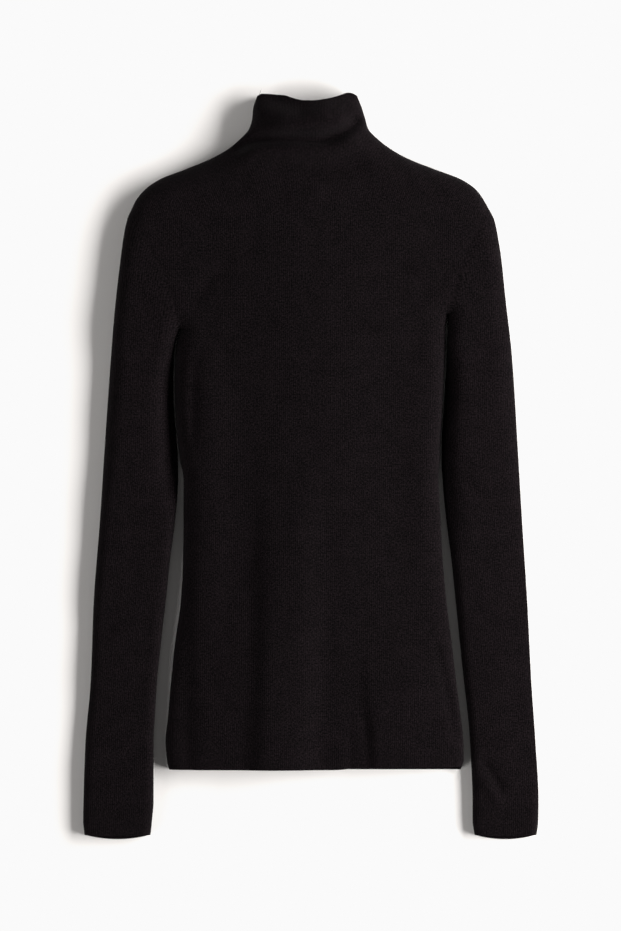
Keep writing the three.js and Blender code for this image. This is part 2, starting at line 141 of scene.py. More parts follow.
armholes = {
    "right": table("y x", [
        (132, -127), (157, -132.5), (182, -139.5), (207.5, -152.5), (228, -167), (243.5, -176.5),
    ]),
    "left": table("y x", [
        (146.5, 132), (166, 136.5), (187, 143), (210.5, 152), (232, 162.5), (251, 171.5),
    ]),
}

# Loft of the upper layer: beside the sleeves' edges, the body's edges and on the body's middle line.
loft = table("y sleeve side middle", [
    (-360, 10.6, 13, 16),
    (-293, 11, 13, 16),
    (-200, 11.8, 15, 20),
    (-80, 13.8, 16.5, 24),
    (60, 17, 17.6, 26),
    (135, 19, 19, 27),
    (250, 20, 20, 27),
    (295, 22, 22, 29),
    (315, 27, 27, 33),
    (340, 30, 30, 36),
    (361, 29, 29, 34),
])


def smoothStep(value, low, high):
    t = np.clip((value - low) / (high - low), 0, 1)
    return t * t * (3 - 2 * t)


def curveOf(rows, column):
    # a smooth value between a table's rows that never overshoots them
    used = [row for row in rows if row[column] is not None]
    y = np.array([row["y"] for row in used], float)
    value = np.array([row[column] for row in used], float)
    gap = np.diff(y)
    secant = np.diff(value) / gap
    product = secant[:-1] * secant[1:]
    total = secant[:-1] + secant[1:]
    slope = np.empty_like(value)
    slope[0] = secant[0]
    slope[-1] = secant[-1]
    slope[1:-1] = np.where(product > 0, 2 * product / np.where(total == 0, 1, total), 0)

    def at(where):
        t = np.clip(where, y[0], y[-1])
        i = np.clip(np.searchsorted(y, t) - 1, 0, len(gap) - 1)
        s = (t - y[i]) / gap[i]
        keep = (1 + 2 * s) * (1 - s) ** 2 * value[i] + s * s * (3 - 2 * s) * value[i + 1]
        return keep + s * (1 - s) * gap[i] * ((1 - s) * slope[i] - s * slope[i + 1])

    return at


outer = {side: curveOf(silhouette, side) for side in sides}
sleeveInner = {"right": curveOf(slits, "sleeveRight"), "left": curveOf(slits, "sleeveLeft")}
bodySide = {"right": curveOf(slits, "bodyRight"), "left": curveOf(slits, "bodyLeft")}
armhole = {side: curveOf(armholes[side], "x") for side in sides}
loftOf = {column: curveOf(loft, column) for column in ("sleeve", "side", "middle")}


def bodyEdge(side, y):
    # the body's edge: its side, then the armhole, then the shoulder and collar
    above = np.where(y < armholeTopY[side], armhole[side](y), outer[side](y))
    return np.where(y < armpit[side][1], bodySide[side](y), above)


def sample(curve, start, stop, step=2.0):
    y = np.linspace(start, stop, max(3, math.ceil(abs(stop - start) / step) + 1))
    return np.stack([curve(y), y], axis=-1)


def byLength(points):
    # gives the points at shares of a line's length
    reach = np.concatenate([[0], np.cumsum(np.hypot(*np.diff(points, axis=0).T))])
    share = reach / reach[-1]
    return lambda at: np.stack([np.interp(at, share, points[:, axis]) for axis in (0, 1)], axis=-1)


def movedLine(points, by):
    # a line moved sideways, to the left of the way it runs
    way = np.gradient(points, axis=0)
    way = way / np.hypot(*way.T)[:, None]
    return points + by * np.stack([-way[:, 1], way[:, 0]], axis=-1)


def lineDistance(line, x, y):
    # distance to a line, how far along it, the line's length, and whether a point lies to its left
    best = np.full(x.shape, 1e9)
    along = np.zeros(x.shape)
    leftOf = np.zeros(x.shape, bool)
    reach = 0.0
    for (ax, ay), (bx, by) in zip(line, line[1:]):
        dx, dy = bx - ax, by - ay
        length = math.hypot(dx, dy)
        share = np.clip(((x - ax) * dx + (y - ay) * dy) / length ** 2, 0, 1)
        distance = np.hypot(x - ax - share * dx, y - ay - share * dy)
        nearer = distance < best
        best = np.where(nearer, distance, best)
        along = np.where(nearer, reach + share * length, along)
        leftOf = np.where(nearer, dx * (y - ay) > dy * (x - ax), leftOf)
        reach += length
    return best, along, reach, leftOf


pastEnd = 8
closedEdges = [
    edge
    for side in sides
    for edge in (
        sample(outer[side], cuffY - pastEnd, collarTopY + pastEnd),
        sample(sleeveInner[side], cuffY - pastEnd, armpit[side][1]),
        sample(bodySide[side], hemY - pastEnd, armpit[side][1]),
    )
]
farOff = 40  # past this distance an edge no longer matters


def edgeDistance(x, y):
    # distance to the nearest folded edge, worked out in short stretches of the edges
    best = np.full(x.shape, float(farOff))
    for line in closedEdges:
        for start in range(0, len(line) - 1, 12):
            part = line[start:start + 13]
            low = part.min(axis=0) - farOff
            high = part.max(axis=0) + farOff
            near = (x > low[0]) & (x < high[0]) & (y > low[1]) & (y < high[1])
            if not near.any():
                continue
            a = part[:-1]
            step = part[1:] - a
            px = x[near][:, None] - a[:, 0]
            py = y[near][:, None] - a[:, 1]
            share = np.clip((px * step[:, 0] + py * step[:, 1]) / (step ** 2).sum(axis=1), 0, 1)
            distance = np.hypot(px - share * step[:, 0], py - share * step[:, 1]).min(axis=1)
            best[near] = np.minimum(best[near], distance)
    return best


def rounded(line, parts=6):
    # a smooth line through a fold's few points
    p = np.array(line, float)
    if len(p) < 3:
        return p
    ends = np.vstack([2 * p[0] - p[1], p, 2 * p[-1] - p[-2]])
    made = []
    for i in range(len(p) - 1):
        a, b, c, d = ends[i:i + 4]
        for t in np.linspace(0, 1, parts, endpoint=False):
            made.append(0.5 * (2 * b + (c - a) * t + (2 * a - 5 * b + 4 * c - d) * t * t
                               + (3 * b - a - 3 * c + d) * t ** 3))
    return np.array(made + [p[-1]])


def foldRise(x, y, folds):
    # soft ridges (rise over 0) and troughs; a power of 4 gives a flat top between steeper flanks,
    # and the flank to the left of the way the line runs is wider by the lean
    rise = np.zeros(x.shape)
    for fold in folds:
        distance, along, reach, leftOf = lineDistance(rounded(fold["line"]), x, y)
        ends = smoothStep(along, 0, fold["fade"])
        if not fold["open"]:
            ends = ends * smoothStep(reach - along, 0, fold["fade"])
        width = fold["width"] * np.where(leftOf, fold["lean"], 1)
        rise += fold["rise"] * ends * np.exp(-(distance / width) ** fold["power"])
    return rise


foldColumns = "name rise width lean fade open power line"

bodyFolds = table(foldColumns, [
    ("middle hump", 6.2, 26, 1.25, 200, True, 4, [(-24, 60), (-27, -187), (-33, -300)]),
    ("long trough", -0.6, 8, 1, 120, True, 2, [(-50, -40), (-53, -160), (-58, -300)]),
    ("side hump", 4.2, 19, 4.5, 110, True, 4, [(-98, -90), (-97, -200), (-97, -300)]),
    ("hip hump", 3.4, 14, 3.8, 60, True, 4, [(63, -170), (69, -300)]),
    ("hem crease", -1.8, 5, 1, 30, True, 2, [(53, -225), (58, -300)]),
    ("hem dimple", -0.9, 5, 1, 40, True, 2, [(38, -230), (38, -300)]),
    ("hip swell", 1.6, 24, 1, 50, False, 2, [(92, -110), (98, -250)]),
    ("right side swell", 3.2, 19, 1, 70, False, 2, [(-101, 150), (-98, 40), (-99, -80), (-102, -190)]),
    ("left side swell", 1.2, 15, 1, 60, False, 2, [(104, 110), (103, 0), (108, -120)]),
    ("right side line", -1.3, 5, 1, 40, False, 2, [(-112, 120), (-115, 0)]),
    ("left side line", -1.9, 4.5, 1, 30, False, 2, [(119, -160), (131, -215), (142, -276)]),
    ("right armpit drag", -1.1, 6, 1, 22, False, 2, [(-120, 148), (-96, 182), (-74, 203)]),
    ("left armpit drag", -1.1, 6, 1, 22, False, 2, [(124, 156), (98, 186), (76, 204)]),
    ("left bust line", -0.8, 8, 1, 30, False, 2, [(112, 122), (80, 96), (44, 88)]),
    ("right bust line", -0.8, 9, 1, 30, False, 2, [(-108, 96), (-74, 74), (-40, 70)]),
    ("waist pull", -0.9, 6, 1, 22, False, 2, [(-104, -8), (-78, -18), (-48, -14)]),
    ("left waist pull", -0.9, 6, 1, 20, False, 2, [(104, 8), (82, -8), (58, -12)]),
])

neckFolds = table(foldColumns, [
    ("neck crease", -7.4, 6, 1, 14, False, 2,
     [(-86, 303), (-70, 310), (-54, 316), (-25, 317), (11, 316), (35, 326), (52, 343)]),
    ("collar roll", 2.6, 9, 1, 18, False, 2, [(-52, 328), (-10, 329), (24, 334), (40, 344)]),
    ("collar base ridge", 2.4, 8, 1, 20, False, 2, [(-76, 299), (-50, 304), (0, 305), (28, 308), (54, 322)]),
    ("collar base valley", -2.2, 8, 1, 20, False, 2, [(-50, 292), (0, 289), (60, 292)]),
    ("collar dent", -4.2, 11, 1, 22, False, 2, [(-52, 364), (-32, 354), (-12, 346), (8, 341)]),
    ("collar right roll", 1.6, 8, 1, 12, False, 2, [(2, 350), (24, 353), (40, 358)]),
    ("collar rim droop", -10, 13, 1, 6, False, 2, [(-62, 364), (-10, 358), (20, 359), (54, 365)]),
    ("chest swell", 1.2, 16, 1, 16, False, 2, [(-30, 264), (20, 266)]),
    ("collar fan", -0.8, 4, 1, 8, False, 2, [(-48, 344), (-40, 332), (-28, 324)]),
    ("collar side pull", -0.9, 4, 1, 8, False, 2, [(40, 352), (30, 342), (14, 336)]),
])

sleeveFolds = table(foldColumns, [
    ("left crease", -2.1, 5, 1, 12, False, 2, [(162, -280), (175, -297), (187, -318)]),
    ("left ridge", 1.5, 6, 1, 14, False, 2, [(160, -298), (174, -312), (186, -332)]),
    ("right dimple", -1.5, 8, 1, 14, False, 2, [(-197, -142), (-195, -170)]),
    ("right cuff shade", -1.2, 12, 1, 20, False, 2, [(-208, -266), (-170, -298)]),
    ("right cuff ridge", 1.0, 10, 1, 20, False, 2, [(-205, -300), (-170, -330)]),
    ("right elbow pull", -1.0, 6, 1, 18, False, 2, [(-142, -20), (-164, -40), (-192, -48)]),
    ("left elbow pull", -1.0, 6, 1, 18, False, 2, [(142, -6), (164, -30), (188, -40)]),
    ("left forearm pull", -0.9, 7, 1, 20, False, 2, [(146, -120), (170, -146), (196, -158)]),
    ("right forearm pull", -0.8, 8, 1, 20, False, 2, [(-150, -196), (-172, -214), (-202, -220)]),
    ("right upper drag", -0.9, 6, 1, 20, False, 2, [(-142, 130), (-158, 112), (-182, 104)]),
    ("left upper drag", -0.9, 6, 1, 20, False, 2, [(144, 138), (162, 118), (184, 110)]),
    ("right inner slope", -10, 15, 1, 60, False, 2, [(-132, 128), (-133, 60), (-130, 0), (-133, -60)]),
    ("left outer slope", -5.2, 34, 1, 60, False, 2, [(203, 215), (210, 0), (222, -200), (228, -350)]),
    ("left inner slope", -5.0, 11, 1, 60, False, 2, [(132, 128), (129, 40), (130, -20), (136, -100)]),
])

# The side that lies down stays flat but for soft places where the cloth is lifted off the surface.
underFolds = table(foldColumns, [
    ("long lift", 1.2, 10, 1, 90, True, 2, [(-34, 90), (-42, -60), (-38, -300)]),
    ("hip lift", 0.9, 9, 1, 60, True, 2, [(66, -120), (72, -300)]),
    ("blade lift", 0.8, 12, 1, 40, False, 2, [(-90, 215), (-40, 226), (30, 222), (92, 214)]),
    ("waist lift", 0.8, 8, 1, 35, False, 2, [(-100, 2), (-50, -12), (10, -6)]),
    ("right sleeve lift", 0.9, 8, 1, 50, False, 2, [(-168, 60), (-172, -60), (-182, -180)]),
    ("left sleeve lift", 0.9, 8, 1, 50, False, 2, [(172, 40), (170, -90), (186, -230)]),
    ("collar lift", 1.0, 6, 1, 16, False, 2, [(-40, 318), (0, 314), (38, 322)]),
])

# Slow unevenness of laid cloth, as waves across it.
ripples = table("length turn height start", [
    (118, 12, 0.30, 0.3),
    (83, 74, 0.22, 1.9),
    (61, 141, 0.16, 4.1),
    (47, 28, 0.10, 2.6),
    (36, 102, 0.07, 5.2),
])


def rippleAt(x, y):
    total = np.zeros(x.shape)
    for wave in ripples:
        turn = math.radians(wave["turn"])
        along = x * math.cos(turn) + y * math.sin(turn)
        bend = 9 * np.sin((x * math.sin(turn) - y * math.cos(turn)) / (wave["length"] * 0.9) + wave["start"])
        total += wave["height"] * np.sin(2 * math.pi * (along + bend) / wave["length"] + wave["start"])
    return total


def neckLine(layer, height):
    # across the neck at a share of the collar's height: 0 at the neckline, 1 at the top edge
    y = neckPointY + (collarTopY - neckPointY) * height
    drops = (frontNeckDrop, frontRimDrop) if layer == "upper" else (backNeckDrop, backRimDrop)
    share = np.linspace(0, 1, 161)
    drop = drops[0] + (drops[1] - drops[0]) * height
    dip = drop * (1 - np.abs(2 * share - 1) ** neckCurvePower)
    low, high = outer["right"](y), outer["left"](y)
    return np.stack([low + (high - low) * share, y - dip], axis=-1)


def armholeLine(side, towards):
    # from armpit to shoulder, set off by half the gap towards sleeve or body
    half = cloth["seamGap"] / 2
    leftward = (side == "right") == (towards == "sleeve")
    line = movedLine(sample(armhole[side], armpit[side][1], armholeTopY[side]), half if leftward else -half)
    topY = armholeTopY[side] + (-half if towards == "sleeve" else half)
    line[-1] = (outer[side](topY), topY)
    return byLength(line)


def necklineSeam(layer, towards):
    half = cloth["seamGap"] / 2 * (1 if towards == "collar" else -1)
    line = movedLine(neckLine(layer, 0), half)
    line[0] = (outer["right"](neckPointY + half), neckPointY + half)
    line[-1] = (outer["left"](neckPointY + half), neckPointY + half)
    return byLength(line)


def armholeDistance(x, y):
    lines = [sample(armhole[side], armpit[side][1], armholeTopY[side], 6) for side in sides]
    return np.min([lineDistance(line, x, y)[0] for line in lines], axis=0)


def seamDip(x, y, layer, atArmhole):
    atNeck = lineDistance(neckLine(layer, 0)[::5], x, y)[0]
    width = cloth["seamDipWidth"]
    return (cloth["armholeDip"] * np.exp(-(atArmhole / width) ** 2)
            + cloth["necklineDip"] * np.exp(-(atNeck / width) ** 2))


def closeBy(y):
    # 1 along the slits below the armpits, where sleeve and body touch
    lowEnd, lowFull, highFull, highEnd = -60, 20, 95, 132
    return smoothStep(y, lowEnd, lowFull) * smoothStep(-y, -highEnd, -highFull)


def seamHeight(y, kind):
    # the height at which the two layers meet, lower where sleeve and body touch
    share = cloth["seamShare"] + (cloth["pitShare"] - cloth["seamShare"]) * closeBy(y)
    return share * loftOf["sleeve" if kind == "sleeve" else "side"](y)


def upperHeight(x, y, kind, distance):
    edge = loftOf["sleeve" if kind == "sleeve" else "side"](y)
    seam = seamHeight(y, kind)
    full = edge
    atArmhole = armholeDistance(x, y)
    rounding = cloth["topRound"]
    if kind == "sleeve":
        ownShare = smoothStep(atArmhole, 0, cloth["roundBlend"])
        rounding = rounding + (cloth["sleeveRound"] - rounding) * ownShare
    else:
        rounding = rounding + (cloth["pitRound"] - rounding) * closeBy(y)
        low, high = bodyEdge("right", y), bodyEdge("left", y)
        across = np.clip(np.abs(2 * (x - low) / (high - low) - 1), 0, 1)
        full = full + (loftOf["middle"](y) - edge) * (1 - across ** 2) ** 2
    # folds die out at the armholes, where body and sleeve must lie level
    folds = foldRise(x, y, bodyFolds + neckFolds if kind == "body" else sleeveFolds)
    full = full + folds * smoothStep(atArmhole, 0, cloth["foldFade"])
    full = full + rippleAt(x, y) - seamDip(x, y, "upper", atArmhole)
    inward = np.minimum(distance / (rounding * (edge - seam)), 1)
    return seam + (full - seam) * np.sqrt(1 - (1 - inward) ** 2)


def underHeight(x, y, kind, distance):
    seam = seamHeight(y, kind)
    inward = np.minimum(distance / (cloth["underRound"] * seam), 1)
    lift = foldRise(x, y, underFolds) + 0.5 * seamDip(x, y, "under", armholeDistance(x, y))
    return seam * (1 - np.sqrt(1 - (1 - inward) ** 2)) + lift * smoothStep(distance, 0, cloth["liftFade"])


def clothPoints(plan, layer, kind, onEdge, shift=0.0):
    # plan[..., 0:2] becomes points of the layer's outer face; onEdge marks the folded edge itself
    x, y = plan[..., 0], plan[..., 1]
    distance = np.where(onEdge, 0, edgeDistance(x, y))
    height = (upperHeight if layer == "upper" else underHeight)(x, y, kind, distance)
    height = height + np.where(onEdge, shift if layer == "upper" else -shift, 0)
    return np.stack([x, y, height], axis=-1)


def spread(length, roundStart, roundEnd):
    # shares of a length, closer together over its rounded ends
    width, count = cloth["roundWidth"], cloth["roundSteps"]
    rounding = width * (1 - np.cos(np.linspace(0, math.pi / 2, count + 1)))[:-1]
    start = width if roundStart else 0
    stop = length - width if roundEnd else length
    middle = np.linspace(start, stop, math.ceil((stop - start) / cloth["step"]) + 1)
    parts = [rounding] if roundStart else []
    parts.append(middle)
    if roundEnd:
        parts.append(length - rounding[::-1])
    return np.concatenate(parts) / length


def evenly(length, fineStart, fineEnd, step=cloth["step"]):
    # shares of a length with two close rows at its open ends, so that the edge stays crisp
    count = math.ceil(length / step)
    stops = list(np.linspace(0, 1, count + 1))
    near, far = 0.17 / count, 0.47 / count
    if fineStart:
        stops[1:1] = [near, far]
    if fineEnd:
        stops[-1:-1] = [1 - far, 1 - near]
    return np.array(stops)


def reachOf(points, axis, flat):
    # distance over the cloth along its rows (axis 1) or columns (axis 0), counted as flat where it is flat
    step = np.diff(points, axis=axis)
    run = np.copysign(np.hypot(step[..., flat], step[..., 2]), step[..., flat])
    first = np.take(points, [0], axis=axis)[..., flat]
    return np.concatenate([first, first + np.cumsum(run, axis=axis)], axis=axis)


def walesOf(points):
    # where each point lies on the knit: across the wales and along them, in metres, with 0.5 in the middle
    across = reachOf(points, 1, 0)
    middle = points.shape[1] // 2
    across = across - across[:, middle:middle + 1] + points[:, middle:middle + 1, 0]
    return np.stack([across, points[..., 1]], axis=-1) * mm + 0.5


def sewnPiece(name, points, wales, closed, insideOut, openEnds, flat, area, restsOn):
    # a grid with its corners moved to the points, walled, with its rims rounded past the open ends' y
    rows, columns = points.shape[:2]
    bm = bmesh.new()
    bmesh.ops.create_grid(bm, x_segments=columns - 1, y_segments=rows - 1, size=0.5)
    place = {}
    for vert in bm.verts:
        at = (round((vert.co.y + 0.5) * (rows - 1)), round((vert.co.x + 0.5) * (columns - 1)))
        place[vert] = at
        x, y, z = points[at]
        vert.co = ((x - tableMiddle[0]) * mm, (y - tableMiddle[1]) * mm, z * mm)
    layer = bm.loops.layers.uv.new("wales")
    for face in bm.faces:
        face.smooth = True
        for loop in face.loops:
            loop[layer].uv = wales[place[loop.vert]]
    if closed:
        bmesh.ops.remove_doubles(bm, verts=bm.verts, dist=1e-6)
    if insideOut:
        bmesh.ops.reverse_faces(bm, faces=bm.faces)
    mesh = bpy.data.meshes.new(name)
    bm.to_mesh(mesh)
    bm.free()
    piece = bpy.data.objects.new(name, mesh)
    bpy.context.scene.collection.objects.link(piece)
    wall = piece.modifiers.new("wall", "SOLIDIFY")
    wall.thickness = cloth["thickness"] * mm
    wall.offset = -1
    wall.use_even_offset = True
    wall.use_rim = True
    walled = bpy.data.meshes.new_from_object(piece.evaluated_get(bpy.context.evaluated_depsgraph_get()))
    piece.modifiers.clear()
    roundRims(walled, *openEnds)
    piece.data = walled
    walled.name = name
    bpy.data.meshes.remove(mesh)
    piece.data.materials.append(knit)
    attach(piece, "root")
    print(name, "has", len(walled.polygons), "faces")
    return piece


def roundRims(mesh, low, high):
    # bevels the rims outside low to high, and keeps every edge sharper than this angle crisp
    sharpFrom = 1.1
    bm = bmesh.new()
    bm.from_mesh(mesh)
    sharp = [
        edge for edge in bm.edges
        if not low * mm < edge.verts[0].co.y < high * mm and edge.calc_face_angle() > sharpFrom
    ]
    bmesh.ops.bevel(bm, geom=sharp, offset=cloth["edgeBevel"] * mm, affect="EDGES", segments=2,
                    profile=0.5, material=-1)
    for face in bm.faces:
        face.smooth = True
    for edge in bm.edges:
        edge.smooth = edge.calc_face_angle(0) < sharpFrom
    bm.to_mesh(mesh)
    bm.free()


class Wire:
    # a node's output that can be used in sums: each operator adds its Math node
    def __init__(self, look, socket):
        self.look = look
        self.socket = socket

    def out(self, name):
        return Wire(self.look, self.socket.node.outputs[name])

    def __add__(self, other):
        return self.look.sum("ADD", self, other)

    def __radd__(self, other):
        return self.look.sum("ADD", other, self)

    def __sub__(self, other):
        return self.look.sum("SUBTRACT", self, other)

    def __rsub__(self, other):
        return self.look.sum("SUBTRACT", other, self)

    def __mul__(self, other):
        return self.look.sum("MULTIPLY", self, other)

    def __rmul__(self, other):
        return self.look.sum("MULTIPLY", other, self)

    def __truediv__(self, other):
        return self.look.sum("DIVIDE", self, other)

    def __pow__(self, other):
        return self.look.sum("POWER", self, other)


class Look:
    # a material made from nodes
    def __init__(self, name):
        self.material = bpy.data.materials.new(name)
        self.material.use_nodes = True
        self.tree = self.material.node_tree
        self.tree.nodes.clear()

    def node(self, kind, settings, sockets, output=0):
        made = self.tree.nodes.new(kind)
        for name, value in settings.items():
            setattr(made, name, value)
        for name, value in sockets.items():
            if isinstance(value, Wire):
                self.tree.links.new(value.socket, made.inputs[name])
            else:
                made.inputs[name].default_value = value
        return Wire(self, made.outputs[output]) if len(made.outputs) else made

    def sum(self, operation, *values):
        return self.node("ShaderNodeMath", {"operation": operation}, dict(enumerate(values)))


def knitLook():
    use = {
        "waleWidth": 1.9 * mm,
        "courseHeight": 1.45 * mm,
        # darker and lighter ends of the knit's tone: the mix below reaches the lighter end on the raised
        # stitch legs as painted light, and where the yarn's random tone is light
        "color": (0.0006, 0.0003, 0.0004, 1),
        "lightColor": (0.0148, 0.0098, 0.0116, 1),
        "relief": 0.22 * mm,
        "waleDrift": 1.2 * mm,  # how far the wales wander to the sides
    }
    look = Look("black fine knit")
    uv = look.node("ShaderNodeUVMap", {"uv_map": "wales"}, {})
    drift = look.node("ShaderNodeTexNoise", {}, {"Vector": uv, "Scale": 60, "Detail": 2})
    place = look.node("ShaderNodeSeparateXYZ", {}, {"Vector": uv})
    across = (place.out("X") + (drift - 0.5) * use["waleDrift"]) / use["waleWidth"]
    side = look.sum("ABSOLUTE", look.sum("FRACT", across) - 0.5)
    course = look.sum("FRACT", place.out("Y") / use["courseHeight"] + side * 1.3)
    wale = 1 - (2 * side) ** 2.0
    groove = look.sum("MAXIMUM", 1 - side / 0.10, 0) * 0.35
    loops = look.sum("ABSOLUTE", course - 0.5) * 2
    # the stitch relief: raised legs of each wale, a groove between them, and rows of loops; the bump uses it,
    # and so does the tone below
    stitchRelief = (wale - groove) * (0.72 + 0.28 * loops)
    yarn = look.node("ShaderNodeTexNoise", {}, {"Vector": uv, "Scale": 620, "Detail": 2, "Roughness": 0.6})
    patch = look.node("ShaderNodeTexNoise", {}, {"Vector": uv, "Scale": 70, "Detail": 3, "Roughness": 0.5})
    # tone of the knit: painted light on the raised stitch legs and painted shade in the grooves and between
    # the loops, taken from the stitch relief, plus random tone of the yarn and in soft patches
    shade = 0.20 * stitchRelief + 1.7 * (yarn - 0.5) + 0.28 * (patch - 0.5) + 0.10
    tone = look.node("ShaderNodeMix", {"data_type": "RGBA", "clamp_factor": True},
                     {0: shade, 6: use["color"], 7: use["lightColor"]}, 2)
    bump = look.node("ShaderNodeBump", {}, {
        "Strength": 1.0, "Distance": use["relief"], "Height": stitchRelief + 0.5 * yarn,
    })
    skin = look.node("ShaderNodeBsdfPrincipled", {}, {
        "Base Color": tone, "Roughness": 0.85, "Specular IOR Level": 0.03,
        "Sheen Weight": 0.035, "Sheen Roughness": 0.45, "Normal": bump,
    })
    look.node("ShaderNodeOutputMaterial", {}, {"Surface": skin})
    return look.material


knit = knitLook()


def bodyPanel(layer):
    use = {"armhole": 122, "neckline": 220, "shoulder": 82, "shoulderShare": 0.24, "frontHemLift": 2.9}
    isFront = layer == "upper"
    share = use["shoulderShare"]

    def hem(x):
        return hemY + (use["frontHemLift"] * smoothStep(x, 20, 60) if isFront else 0 * x)

    neckline = necklineSeam(layer, "body")
    shoulder, armholeSeam, sideSeam = {}, {}, {}
    for side in sides:
        half = cloth["seamGap"] / 2
        shoulder[side] = byLength(sample(outer[side], armholeTopY[side] + half, neckPointY - half))
        armholeSeam[side] = armholeLine(side, "body")
        line = sample(bodySide[side], float(hem(bodySide[side](hemY))), armpit[side][1])
        line[-1] = armholeSeam[side](0)
        sideSeam[side] = byLength(line)

    def topEdge(u):
        low = shoulder["right"](np.clip(u / share, 0, 1))
        high = shoulder["left"](np.clip((1 - u) / share, 0, 1))
        middle = neckline(np.clip((u - share) / (1 - 2 * share), 0, 1))
        return np.where((u <= share)[:, None], low, np.where((u >= 1 - share)[:, None], high, middle))

    def armpitLine(u):
        return armholeSeam["right"](0) * (1 - u)[:, None] + armholeSeam["left"](0) * u[:, None]

    def hemLine(u):
        x = bodySide["right"](hemY) * (1 - u) + bodySide["left"](hemY) * u
        return np.stack([x, hem(x)], axis=-1)

    def patch(bottom, top, low, high, u, w):
        uu, ww = u[None, :, None], w[:, None, None]
        bottomU, topU = bottom(u), top(u)
        points = bottomU[None] * (1 - ww) + topU[None] * ww
        points = points + low(w)[:, None] * (1 - uu) + high(w)[:, None] * uu
        corners = bottomU[0] * (1 - uu) * (1 - ww) + bottomU[-1] * uu * (1 - ww)
        return points - corners - topU[0] * (1 - uu) * ww - topU[-1] * uu * ww

    fromShoulder = spread(use["shoulder"], True, False) * share
    middle = share + (1 - 2 * share) * spread(use["neckline"], True, True)[1:-1]
    u = np.concatenate([fromShoulder, middle, 1 - fromShoulder[::-1]])
    lowerW = evenly(armpit["right"][1] - hemY, True, False)[:-1]
    upperW = spread(use["armhole"], True, True)
    lower = patch(hemLine, armpitLine, sideSeam["right"], sideSeam["left"], u, lowerW)
    upper = patch(armpitLine, topEdge, armholeSeam["right"], armholeSeam["left"], u, upperW)
    plan = np.concatenate([lower, upper])
    onEdge = np.zeros(plan.shape[:2], bool)
    onEdge[:len(lowerW) + 1, [0, -1]] = True
    onEdge[-1] = (u <= share) | (u >= 1 - share)
    points = clothPoints(plan, layer, "body", onEdge, cloth["seamGap"] / 2)
    return points, leaning(points)


def leaning(points):
    # near the neck the wales lean in towards the collar
    use = {"from": 235, "to": 320, "lean": 0.22}
    wales = walesOf(points)
    rise = smoothStep(points[..., 1], use["from"], use["to"])
    wales[..., 0] = 0.5 + (wales[..., 0] - 0.5) / (1 - use["lean"] * rise)
    return wales


def sleevePiece(side):
    use = {
        "armhole": 122,
        "turnShare": 0.45,      # share of the length over which rows turn from the armhole to lie across
        "turnPower": 1.5,
        "cuffBackDrop": 4.3,    # how far the cuff's under edge shows past its upper one
        "cuffDropLength": 14,
        "underWales": 0.07,     # sets the under layer's knit off, so that it doesn't mirror the upper one's
    }
    seam = armholeLine(side, "sleeve")
    seamStart, seamEnd = seam(0), seam(1)
    stops = spread(use["armhole"], True, True)
    down = evenly(seamStart[1] - cuffY, True, True)[:, None]
    turn = np.maximum(0, 1 - down / use["turnShare"]) ** use["turnPower"]
    innerY = seamStart[1] + (cuffY - seamStart[1]) * down
    outerY = innerY + (seamEnd[1] - seamStart[1]) * turn
    inner = np.stack([sleeveInner[side](innerY), innerY], axis=-1)
    inner[0, 0] = seamStart
    outerPoint = np.stack([outer[side](outerY), outerY], axis=-1)
    share = stops[None, :, None]
    straight = seamStart * (1 - share) + seamEnd * share
    line = inner * (1 - share) + outerPoint * share + (seam(stops)[None] - straight) * turn[..., None]
    onEdge = np.zeros(line.shape[:2], bool)
    onEdge[:, [0, -1]] = True
    under = line.copy()
    atCuff = smoothStep(down, 1 - use["cuffDropLength"] / (seamStart[1] - cuffY), 1)
    under[..., 1] -= use["cuffBackDrop"] * (1 - (2 * stops - 1) ** 2) * atCuff
    top = clothPoints(line, "upper", "sleeve", onEdge)
    bottom = clothPoints(under, "under", "sleeve", onEdge)
    bottom[:, [0, -1]] = top[:, [0, -1]]
    ring = np.concatenate([top, bottom[:, ::-1][:, 1:]], axis=1)
    underWales = use["underWales"] + walesOf(bottom)[:, ::-1][:, 1:]
    wales = np.concatenate([walesOf(top), underWales], axis=1)
    centre = 0.5 * (inner[..., 0] + outerPoint[..., 0]) * mm
    wales[..., 0] -= centre
    return ring, wales


def collarPiece():
    use = {"length": 60, "step": 1.2, "neckline": 220, "underWales": 0.11}
    # height of the top edge over the even one, along it from the wearer's right to left
    edge = table("y front back", [
        (0, 0.3, 0.3),
        (0.05, 3.0, 2.5),
        (0.16, 4.2, 2.5),
        (0.26, 4.4, 1.2),
        (0.36, 2.2, -0.6),
        (0.46, 0.2, -1.5),
        (0.56, 0.0, -1.5),
        (0.68, 0.9, -0.8),
        (0.80, 2.9, 0.6),
        (0.90, 4.8, 1.6),
        (0.955, 3.4, 1.8),
        (1, 0.2, 0.2),
    ])
    stops = spread(use["neckline"], True, True)
    heights = evenly(use["length"], True, True, use["step"])
    faces = {}
    for layer, column in (("upper", "front"), ("under", "back")):
        plan = []
        for height in heights:
            row = necklineSeam(layer, "collar") if height == 0 else byLength(neckLine(layer, height))
            line = row(stops)
            line[:, 1] += curveOf(edge, column)(stops) * smoothStep(height, 0.45, 1)
            plan.append(line)
        onEdge = np.zeros((len(heights), len(stops)), bool)
        onEdge[:, [0, -1]] = True
        faces[layer] = clothPoints(np.array(plan), layer, "body", onEdge)
    faces["under"][:, [0, -1]] = faces["upper"][:, [0, -1]]
    ring = np.concatenate([faces["upper"], faces["under"][:, ::-1][:, 1:]], axis=1)
    top, bottom = (leaning(faces[layer]) for layer in ("upper", "under"))
    wales = np.concatenate([top, use["underWales"] + bottom[:, ::-1][:, 1:]], axis=1)
    return ring, wales


